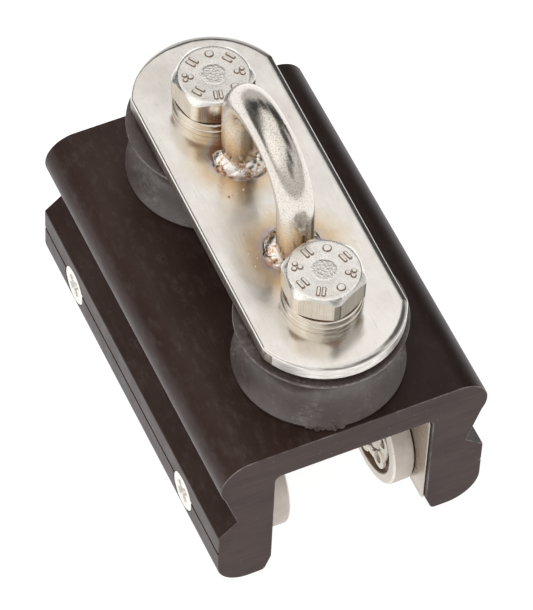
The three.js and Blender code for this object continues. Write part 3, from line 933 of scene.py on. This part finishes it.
BALL_CIRCLE = 5.9
BALL_RADIUS = 1.36
RACE_RADIUS = 1.47
BALLS = 6
FIRST_BALL = -40
TYRE_BORE = 7.0
TYRE_MOUTH = 8.9
TYRE_STEP = 1.0
HUB_RADIUS = 4.8
HUB_FRONT = 1.6
CAGE_BACK = 1.3
CAGE_FRONT = 1.95
CAGE_WEB_DROP = 0.3
CAGE_FINGER_BACK = -0.9
CAGE_WEB_RADIUS = 7.2
CAGE_FINGER_RADIUS = 6.68
CAGE_BORE = 5.12
CAGE_BOSS_RADIUS = 2.3
CAGE_POCKET_RADIUS = 1.55
CAGE_WINDOW_RADIUS = 1.3
SCREW_HEAD_RADIUS = 3.7
SCREW_SHANK_RADIUS = 2.0
RECESS_LENGTH = 2.15
RECESS_WIDTH = 0.72
RECESS_DEPTH = 1.45
WHEEL_LOW, WHEEL_HIGH = box_mm("wheel_tyre_front_left")
WHEEL_RADIUS = (WHEEL_HIGH.z - WHEEL_LOW.z) / 2
WHEEL_HALF = (WHEEL_HIGH.y - WHEEL_LOW.y) / 2


def race(start, end):
    return arc(BALL_CIRCLE, 0, RACE_RADIUS, start, end, 10)


def wheel_turn(station):
    """Matrix that takes a wheel drawn about Z to its station, with X kept along the track."""
    inwards = -1 if station.y > 0 else 1
    depth_axis = Vector((0, inwards, 0))
    first = Vector((1, 0, 0))
    second = Vector((0, 0, 1))
    turn = Matrix((first, second, depth_axis)).transposed().to_4x4()
    return Matrix.Translation(station) @ turn


def placed(bm, station):
    moved(bm, wheel_turn(station))
    bmesh.ops.recalc_face_normals(bm, faces=bm.faces)
    return bm


def tyre():
    step = degrees(asin(TYRE_STEP / RACE_RADIUS))
    opened = degrees(acos((TYRE_BORE - BALL_CIRCLE) / RACE_RADIUS))
    edge, back, front = WHEEL_RADIUS, -WHEEL_HALF, WHEEL_HALF
    corners = [
        (TYRE_BORE, back, 0.1),
        *race(-opened, step),
        (TYRE_MOUTH, TYRE_STEP, 0.12),
        (TYRE_MOUTH, front, 0.25),
        (edge - 0.36, front, 0.15),
        (edge, front - 0.34, 0.2),
        (edge, 0.06),
        (edge - 0.03, 0.0),
        (edge, -0.06),
        (edge, back + 0.5, 0.2),
        (edge - 0.5, back, 0.15),
    ]
    return lathe(fillet(corners), 128)


def hub(station):
    opened = degrees(acos((BALL_CIRCLE - HUB_RADIUS) / RACE_RADIUS))
    back = abs(station.y) - STRIP_INNER
    recess = HUB_FRONT - 0.15
    corners = [
        (AXLE_BORE, back),
        (HUB_RADIUS, back, 0.1),
        *race(180 + opened, 180 - opened),
        (HUB_RADIUS, HUB_FRONT, 0.25),
        (3.4, HUB_FRONT, 0.1),
        (3.1, recess, 0.1),
        (AXLE_BORE, recess),
    ]
    return lathe(fillet(corners), 96)


def ball_places():
    for i in range(BALLS):
        angle = radians(FIRST_BALL + 360 * i / BALLS)
        yield Vector((BALL_CIRCLE * cos(angle), BALL_CIRCLE * sin(angle)))


def cage():
    below, above = CAGE_FINGER_BACK - 1, CAGE_FRONT + 1

    def at_balls(radius, low, high):
        return [disc(radius, low, high, place, 40) for place in ball_places()]

    web = disc(CAGE_WEB_RADIUS, CAGE_BACK, CAGE_FRONT - CAGE_WEB_DROP, segments=96)
    fingers = disc(CAGE_FINGER_RADIUS, CAGE_FINGER_BACK, CAGE_BACK + 0.2, segments=96)
    body = combined(web, at_balls(CAGE_BOSS_RADIUS, CAGE_BACK, CAGE_FRONT), "UNION")
    body = combined(body, [fingers], "UNION")
    body = combined(body, [disc(CAGE_BORE, below, above, segments=96)])
    body = combined(body, at_balls(CAGE_POCKET_RADIUS, below, CAGE_BACK - 0.2))
    body = combined(body, at_balls(CAGE_WINDOW_RADIUS, below, above))
    return soften(body, 0.09, 40, 2)


def steel_ball(place):
    bm = bmesh.new()
    bmesh.ops.create_icosphere(bm, subdivisions=4, radius=BALL_RADIUS)
    return shifted(bm, place)


def axle_screw(station, low, high):
    """Countersunk screw with its flat face outwards; drawn with height along the axle."""
    length = high - low
    corners = [
        (0, 0),
        (SCREW_HEAD_RADIUS, 0, 0.12),
        (SCREW_HEAD_RADIUS, -0.25, 0.05),
        (SCREW_SHANK_RADIUS, -2.1, 0.1),
        (SCREW_SHANK_RADIUS, -length, 0.3),
        (0, -length),
    ]
    bm = lathe(fillet(corners, closed=False), 96, closed=False)
    slots = []
    for turn in (45, 135):
        rows = []
        for level, grow in ((-RECESS_DEPTH, 0.62), (0.0, 1.0), (0.5, 1.15)):
            a, b = RECESS_LENGTH * grow, RECESS_WIDTH * (0.5 + 0.5 * grow)
            rows.append([Vector((x, y, level)) for x, y in ((a, b), (-a, b), (-a, -b), (a, -b))])
        slots.append(moved(stack(rows), spin(turn, "Z")))
    bm = outwards(combined(bm, slots), station, high)
    bmesh.ops.recalc_face_normals(bm, faces=bm.faces)
    return bm


def make_station(name, station):
    def choose(face):
        centre = face.calc_center_median() - station
        # Painted shade inside the recess and bore; painted light on the inward face.
        if hypot(centre.x, centre.z) < WHEEL_RADIUS - 1.8:
            return 2
        return 1 if abs(face.normal.y) > 0.6 else 0

    looks = [WHEEL_PLASTIC, WHEEL_FACE_LIT, WHEEL_RECESS_SHADE]
    piece(f"tyre_{name}", placed(tyre(), station), looks, f"wheel_{name}",
          [f"wheel_tyre_{name}"], choose=choose)
    piece(f"inner_ring_{name}", placed(hub(station), station), [STRIP_STEEL], "car",
          [f"wheel_hub_{name}"])
    piece(f"cage_{name}", placed(cage(), station), [CAGE_PLASTIC], f"bearing_{name}",
          [f"ball_cage_{name}"])
    balls = joined([steel_ball(place) for place in ball_places()])
    piece(f"balls_{name}", placed(balls, station), [BALL_STEEL_SHADED], f"bearing_{name}",
          [f"ball_{name}_{i + 1}" for i in range(BALLS)], weighted=False)
    low, high = box_mm(f"axle_screw_{name}")
    near, far = sorted((abs(low.y), abs(high.y)))
    piece(f"screw_{name}", axle_screw(station, near, far), [BOLT_STEEL], "car",
          [f"axle_screw_{name}"])


for station_name, station_place in STATIONS.items():
    make_station(station_name, station_place)

# ---- sheaves and bushes


SHEAVE_HUB_STEP = 0.7
SHEAVE_WAIST = 11.3
SHEAVE_BORE = 5.1
SHEAVE_HUB_RADIUS = 8.0
SHEAVE_LOW_LIP = 0.5
SHEAVE_HIGH_LIP = 0.42
GROOVE_STEPS = 32
GROOVE_POWER = 0.8
BUSH_RADIUS = 5.0
FLASH_ANGLES = (-34, -6)
FLASH_STEPS = 26


def make_sheave(end):
    low, high = box_mm(f"sheave_{end}")
    middle = (low + high) / 2
    radius = (high.x - low.x) / 2
    bottom, top = low.z, high.z
    rim = top - SHEAVE_HUB_STEP
    low_lip, high_lip = bottom + SHEAVE_LOW_LIP, rim - SHEAVE_HIGH_LIP
    recess = bottom + 0.25
    groove = []
    for i in range(GROOVE_STEPS + 1):
        t = i / GROOVE_STEPS
        depth = (radius - SHEAVE_WAIST) * sin(pi * t) ** GROOVE_POWER
        groove.append((radius - depth, low_lip + (high_lip - low_lip) * t))
    corners = [
        (SHEAVE_BORE, bottom + 0.1, 0.1),
        (SHEAVE_HUB_RADIUS - 0.4, bottom, 0.1),
        (SHEAVE_HUB_RADIUS, recess, 0.1),
        (13.0, recess, 0.1),
        (13.4, bottom, 0.1),
        (radius - 0.2, bottom, 0.1),
        (radius, bottom + 0.2, 0.12),
        *groove,
        (radius, rim - 0.12, 0.06),
        (radius - 0.12, rim, 0.06),
        (radius - 0.3, rim, 0.1),
        (SHEAVE_HUB_RADIUS + 0.4, rim - 0.12, 0.3),
        (SHEAVE_HUB_RADIUS, top, 0.3),
        (SHEAVE_BORE, top),
    ]
    parts = [lathe(fillet(corners, steps=3), 160)]
    if end == "front":
        parts.append(flash(radius, bottom))
    bm = shifted(joined(parts), middle)

    def choose(face):
        centre = face.calc_center_median()
        on_edge = centre.z > rim - 0.16 or centre.z < bottom + 0.1
        # Faces at the rims' outer edges get the pale rim-edge plastic, a painted highlight.
        return 1 if on_edge and (centre - middle).xy.length > radius - 0.1 else 0

    piece(f"sheave_{end}_wheel", bm, [SHEAVE_PLASTIC, SHEAVE_EDGE_WEAR_AND_HIGHLIGHT], f"sheave_{end}",
          [f"sheave_{end}"], choose=choose)


def flash(radius, bottom):
    """Ragged moulding flash left on the lower rim."""
    layers = []
    first, last = FLASH_ANGLES
    for i in range(FLASH_STEPS + 1):
        t = i / FLASH_STEPS
        angle = radians(first + (last - first) * t)
        reach = (0.25 + 0.65 * random.random()) * sin(pi * t) ** 0.5
        thick = 0.25 + 0.20 * random.random()
        out = Vector((cos(angle), sin(angle), 0))
        inner, outer = radius - 0.8, radius - 0.05 + reach
        layers.append([
            out * inner + Vector((0, 0, bottom)),
            out * outer + Vector((0, 0, bottom)),
            out * outer + Vector((0, 0, bottom + thick)),
            out * inner + Vector((0, 0, bottom + thick + 0.3)),
        ])
    return stack(layers)


def ring_solid(corners, segments, place):
    return shifted(lathe(fillet(corners), segments), place)


def make_bush(end):
    low, high = box_mm(f"sheave_bush_{end}")
    radius = BUSH_RADIUS
    bm = ring_solid(
        [(BOLT_BORE, low.z), (radius, low.z, 0.12), (radius, high.z, 0.12), (BOLT_BORE, high.z)],
        64, (low + high) / 2,
    )
    piece(f"bush_{end}", bm, [BOLT_STEEL], "car", [f"sheave_bush_{end}"])


for end_name in ENDS:
    make_sheave(end_name)
    make_bush(end_name)

# ---- top plate


PLATE_END_RADIUS = 14.3
PLATE_HALF_WIDTH = 13.25
PLATE_ARC_SPACING = 46.05
PLATE_YAW = -0.75
ROLLED_EDGE = (1.5, 0.5)
LOWER_EDGE = (0.3, 0.3)
ROLL_POWER = 2.2
ROLL_STEPS = 14
SHEARED_SIDE = 0.72
CORNER_ROUND = 2.0
UNEVENNESS = 0.0007


def plate_outline():
    middle = PLATE_ARC_SPACING / 2
    angle = degrees(asin(PLATE_HALF_WIDTH / PLATE_END_RADIUS))
    corner_x = middle + PLATE_END_RADIUS * cos(radians(angle))
    corners = [(corner_x, -PLATE_HALF_WIDTH, CORNER_ROUND)]
    corners += arc(middle, 0, PLATE_END_RADIUS, 4 - angle, angle - 4, 60)
    corners.append((corner_x, PLATE_HALF_WIDTH, CORNER_ROUND))
    for k in range(1, 40):
        corners.append((corner_x - 2 * corner_x * k / 40, PLATE_HALF_WIDTH))
    corners += [(-c[0], -c[1], *c[2:]) for c in corners]
    return counter_clockwise([p * (1 - UNEVENNESS * random.random()) for p in fillet(corners)])


def make_plate():
    outline = plate_outline()
    sharpness = []
    for k in range(len(outline)):
        along = outline[(k + 1) % len(outline)] - outline[k - 1]
        sharpness.append(SHEARED_SIDE * min(1.0, max(0.0, 1.6 * along.x / along.length - 0.2)))
    rings = []
    wide, drop = LOWER_EDGE
    for k in range(4, -1, -1):
        a = pi / 2 * k / 4
        rings.append((PLATE_BOTTOM + drop * (1 - sin(a)), wide * (1 - cos(a))))
    wide, drop = ROLLED_EDGE
    rings.append((PLATE_TOP - drop - 0.14, 0.0))
    rings.append((PLATE_TOP - drop - 0.05, 0.04))
    for k in range(1, ROLL_STEPS + 1):
        out = 1 - k / ROLL_STEPS
        rings.append((PLATE_TOP - drop * out ** ROLL_POWER, wide * (1 - out)))
    layers = []
    for z, d in rings:
        ring = inset(outline, d) if d > 1e-6 else outline
        layers.append([
            Vector((*p.lerp(q, sharp if z > PLATE_BOTTOM + 1 else 0), z))
            for p, q, sharp in zip(ring, outline, sharpness)
        ])
    middle = (PLATE_LOW + PLATE_HIGH) / 2
    bm = moved(stack(layers), spin(PLATE_YAW, "Z"))
    bm = shifted(bm, middle)
    bm = combined(bm, [disc(BOLT_BORE, PLATE_BOTTOM - 1, PLATE_TOP + 1, BOLTS[end]) for end in ENDS])

    def choose(face):
        if abs(face.normal.z) > 0.35:
            return 0
        # Painted shade: faces turned to -Y get the darkened side steel, the other sides the bright
        # rolled-edge steel.
        return 2 if face.normal.y < -0.85 else 1

    looks = [PLATE_STEEL, PLATE_END, PLATE_SIDE_SHADED]
    piece("plate", bm, looks, "car", ["top_plate"], choose=choose)


make_plate()

# ---- bolts and washers

BOLT_RADIUS = 4.0
LOCK_WASHER_RADIUS = 6.85
LOCK_WASHER_GAP = 6.0
LOCK_WASHER_START = 110
LOCK_WASHER_STEPS = 110
HEX_TURN = {"front": -6.0, "rear": 9.0}
HEX_FLATS = 13.0
HEX_CORNER = 7.2
CHAMFER_RADIUS = 6.17
CHAMFER_SLOPE = 38
UNDER_CHAMFER = 0.95
HEX_SEGMENTS = 180
# Radius and depth of the rings inside the top of a head.
HEX_DISH = [(5.7, 0.01), (4.0, 0.02), (2.7, 0.02), (2.2, 0.04), (1.8, 0.055), (1.2, 0.055), (0.5, 0.05)]
MARK_HEIGHT = 0.24
MARK_SKIRT = 0.17
MARK_RING = 4.5
MARK_START = {"front": 14, "rear": 31}
MARK_KINDS = ["dashes", "dot", "bars", "pips", "dashes", "bars", "dot", "pips"]


def hex_reach(angle):
    """Distance from the axis to the hexagon's side at an angle in degrees from a corner."""
    from_flat = (angle % 60) - 30
    return min(HEX_CORNER, HEX_FLATS / 2 / cos(radians(from_flat)))


def hex_head(bottom, top, turn):
    """Head chamfered above and below, with a shallow dish in its top."""
    slope = tan(radians(CHAMFER_SLOPE))
    middle = (bottom + top) / 2
    angles = [360 * k / HEX_SEGMENTS for k in range(HEX_SEGMENTS)]
    reach = [hex_reach(angle) for angle in angles]
    drop = [max(0.0, r - CHAMFER_RADIUS) * slope for r in reach]
    layers = []

    def side(inwards, base, share, rise):
        """Ring that follows the hexagon, at a height that takes a share of the chamfer's drop."""
        return [(r - inwards, base + d * share + rise) for r, d in zip(reach, drop)]

    def level(radius, z):
        return [(radius, z)] * HEX_SEGMENTS

    for ring in (
        level(5.9, bottom),
        level(6.15, bottom + 0.04),
        side(0.12, bottom, UNDER_CHAMFER, 0.02),
        side(0.0, bottom, UNDER_CHAMFER, 0.12),
        side(0.0, middle, 0.0, 0.0),
        side(0.0, top, -1.0, -0.10),
        side(0.06, top, -1.0, -0.02),
        level(CHAMFER_RADIUS + 0.08, top - 0.055),
        level(CHAMFER_RADIUS - 0.03, top - 0.02),
        level(CHAMFER_RADIUS - 0.18, top),
        *[level(radius, top - dip) for radius, dip in HEX_DISH],
    ):
        points = []
        for angle, (radius, z) in zip(angles, ring):
            a = radians(angle + turn)
            points.append(Vector((radius * cos(a), radius * sin(a), z)))
        layers.append(points)
    return stack(layers)


# Centre, width and height of each stroke of a mark.
MARK_SHAPES = {
    "dot": [(0.0, 0.0, 1.3, 1.3)],
    "bars": [(-0.45, 0.0, 0.42, 1.75), (0.45, 0.0, 0.42, 1.75)],
    "dashes": [(0.0, -0.5, 1.7, 0.42), (0.0, 0.5, 1.7, 0.42)],
    "pips": [(-0.5, 0.45, 0.7, 0.7), (0.5, 0.45, 0.7, 0.7), (0.0, -0.5, 0.8, 0.8)],
}


def head_mark(angle, kind, top):
    """One raised mark of a plain ring of dots and dashes."""
    parts = []
    for x, y, wide, tall in MARK_SHAPES[kind]:
        a, b = wide / 2, tall / 2
        radius = min(a, b) * 0.98
        outline = fillet([(*c, radius) for c in ((-a, -b), (a, -b), (a, b), (-a, b))])
        outline = counter_clockwise(outline)
        skirt = (1 + MARK_SKIRT / a, 1 + MARK_SKIRT / b)
        parts.append(stack([
            [Vector((x + p.x * grow_x, y + p.y * grow_y, z)) for p in outline]
            for grow_x, grow_y, z in (
                (*skirt, -0.05),
                (*skirt, 0.012),
                (1.0, 1.0, 0.03),
                (0.96, 0.96, MARK_HEIGHT * 0.8),
                (0.88, 0.88, MARK_HEIGHT),
            )
        ]))
    return moved(joined(parts), spin(angle, "Z") @ Matrix.Translation((0, MARK_RING, top)))


def make_bolt(end):
    low, high = box_mm(f"hex_bolt_{end}")
    seat = box_mm(f"lock_washer_{end}")[1].z
    middle = (low + high) / 2
    top = high.z
    face_height = top - MARK_HEIGHT
    parts = [hex_head(seat, face_height, HEX_TURN[end])]
    for i, kind in enumerate(MARK_KINDS):
        parts.append(head_mark(MARK_START[end] + 360 * i / len(MARK_KINDS), kind, face_height))
    shank = [(0, low.z), (BOLT_RADIUS, low.z, 0.6), (BOLT_RADIUS, seat + 0.4), (0, seat + 0.4)]
    parts.append(lathe(fillet(shank, closed=False), 64, closed=False))
    bm = shifted(joined(parts), middle)

    def choose(face):
        height = face.calc_center_median().z
        # Painted shade: the lower sides of the raised marks are brown, as dark outlines.
        if face_height + 0.005 < height < top - 0.4 * MARK_HEIGHT:
            return 2
        # Painted shade under the head: its downward faces are brown.
        if seat - 0.1 < height < seat + 0.9 and face.normal.z < -0.3:
            return 2
        # The flats get the darker copy of the bolt steel, painted shade.
        return 1 if abs(face.normal.z) < 0.25 and seat + 0.1 < height < top - 0.3 else 0

    looks = [BOLT_STEEL, FLAT_STEEL_SHADED, TARNISH_AND_SHADE]
    piece(f"bolt_{end}", bm, looks, "car", [f"hex_bolt_{end}"],
          sharp=24, choose=choose)


def make_washers(end):
    low, high = box_mm(f"flat_washer_{end}")
    radius = (high.x - low.x) / 2
    bm = ring_solid(
        [(BOLT_BORE, low.z), (radius, low.z, 0.1), (radius, high.z, 0.3), (BOLT_BORE, high.z, 0.15)],
        120, BOLTS[end],
    )
    piece(f"washer_flat_{end}", bm, [WASHER_STEEL], "car", [f"flat_washer_{end}"])
    low, high = box_mm(f"lock_washer_{end}")
    radius = LOCK_WASHER_RADIUS
    section = counter_clockwise(fillet([
        (BOLT_BORE, 0.0, 0.1), (radius, 0.0, 0.1), (radius, 1.0, 0.3), (BOLT_BORE, 1.0, 0.1)
    ]))
    bottom, thick = low.z + 0.04, high.z - low.z - 0.08
    start = LOCK_WASHER_START + LOCK_WASHER_GAP / 2
    layers = []
    for i in range(LOCK_WASHER_STEPS + 1):
        angle = radians(start + (360 - LOCK_WASHER_GAP) * i / LOCK_WASHER_STEPS)
        out = Vector((cos(angle), sin(angle), 0))
        layers.append([out * p.x + Vector((0, 0, bottom + p.y * thick)) for p in section])
    bm = shifted(stack(layers), BOLTS[end])

    def choose(face):
        # Painted shade and tarnish: the top of the lock washer, under the head, is brown.
        return 1 if face.normal.z > 0.95 else 0

    piece(f"washer_lock_{end}", bm, [WASHER_STEEL, TARNISH_AND_SHADE], "car", [f"lock_washer_{end}"],
          choose=choose)


for end_name in ENDS:
    make_bolt(end_name)
    make_washers(end_name)

# ---- eye and welds

EYE_SQUARENESS = 0.88
EYE_MIDDLE = (EYE_LOW.x + EYE_HIGH.x) / 2
EYE_SPAN = (EYE_HIGH.x - EYE_LOW.x) / 2 - BAR_RADIUS
EYE_SPRING = FEET + 60.65
EYE_RISE = EYE_HIGH.z - BAR_RADIUS - EYE_SPRING
EYE_LEAN = -0.024
LEG_STEPS = 14
BOW_STEPS = 90


def make_eye():
    def place(x, z):
        return Vector((EYE_MIDDLE + x, EYE_LEAN * (z - PLATE_TOP), z))

    leg = [PLATE_TOP + (EYE_SPRING - PLATE_TOP) * i / LEG_STEPS for i in range(LEG_STEPS)]
    path = [place(EYE_SPAN, z) for z in leg]
    for i in range(BOW_STEPS + 1):
        angle = pi * i / BOW_STEPS
        c, s = cos(angle), sin(angle)
        across = copysign(abs(c) ** EYE_SQUARENESS, c)
        path.append(place(EYE_SPAN * across, EYE_SPRING + EYE_RISE * abs(s) ** EYE_SQUARENESS))
    path += [place(-EYE_SPAN, z) for z in reversed(leg)]
    evened = [path[0]]
    for i in range(1, len(path) - 1):
        evened.append((path[i - 1] + path[i] * 2 + path[i + 1]) / 4)
    evened.append(path[-1])
    bm = sweep(evened, BAR_RADIUS, 56)
    piece("eye_bar", bm, [EYE_STEEL], "car", ["eye_bow"], weighted=False)


WELD_RIPPLE = 36
RIPPLE_DEPTH = 0.23
BEAD_STEPS = 150
BEAD_ROWS = 14


def make_weld(end, start, finish, bulk, spatter):
    """Rippled bead from start to finish (degrees round the leg, 0 along +X), thickest in its middle."""
    leg = Vector((LEG_X[end], 0.0, PLATE_TOP))
    inner = BAR_RADIUS - 0.15
    bm = bmesh.new()
    grid = []
    for i in range(BEAD_STEPS + 1):
        t = i / BEAD_STEPS
        angle = radians(start + (finish - start) * t)
        fade = min(1.0, sqrt(max(0.0, 1 - (2 * t - 1) ** 10)))
        swell = bulk * (0.78 + 0.34 * sin(pi * t) + 0.10 * sin(9 * t + 1.3))
        width = max(0.02, swell * fade)
        height = max(0.02, 0.78 * swell * fade)
        out = Vector((cos(angle), sin(angle), 0))
        row = []
        for j in range(BEAD_ROWS + 1):
            v = j / BEAD_ROWS
            phase = (abs(finish - start) * t / WELD_RIPPLE + 0.9 * v * v + 0.2 * sin(7 * t)) % 1.0
            reach = 0.4 + 0.6 * sin(pi * min(1, v + 0.15))
            ripple = 1 - RIPPLE_DEPTH * (phase ** 1.5) * reach
            r = inner + width * sin(pi / 2 * v) * ripple
            z = height * (cos(pi / 2 * v) ** 0.85) * ripple
            row.append(bm.verts.new(leg + out * r + Vector((0, 0, z))))
        row.append(bm.verts.new(leg + out * inner))
        grid.append(row)
    for a, b in zip(grid, grid[1:]):
        for j in range(len(a)):
            k = (j + 1) % len(a)
            bm.faces.new((a[j], a[k], b[k], b[j]))
    bm.faces.new(grid[0])
    bm.faces.new(grid[-1][::-1])
    bmesh.ops.recalc_face_normals(bm, faces=bm.faces)
    parts = [bm]
    flat = Matrix.Diagonal((1.2, 1.0, 0.7, 1))
    for _ in range(spatter):
        angle = random.uniform(0, TAU)
        away = random.uniform(6.0, 9.5)
        size = random.uniform(0.09, 0.22)
        drop = bmesh.new()
        bmesh.ops.create_icosphere(drop, subdivisions=2, radius=size)
        place = leg + Vector((away * cos(angle), away * sin(angle), size * 0.2))
        parts.append(moved(drop, Matrix.Translation(place) @ flat))
    piece(f"weld_{end}", joined(parts), [WELD_METAL[end]], "car", [f"eye_weld_{end}"],
          sharp=60, weighted=False)


make_eye()
make_weld("front", 62, 318, 2.15, 5)
make_weld("rear", -122, 128, 2.35, 7)
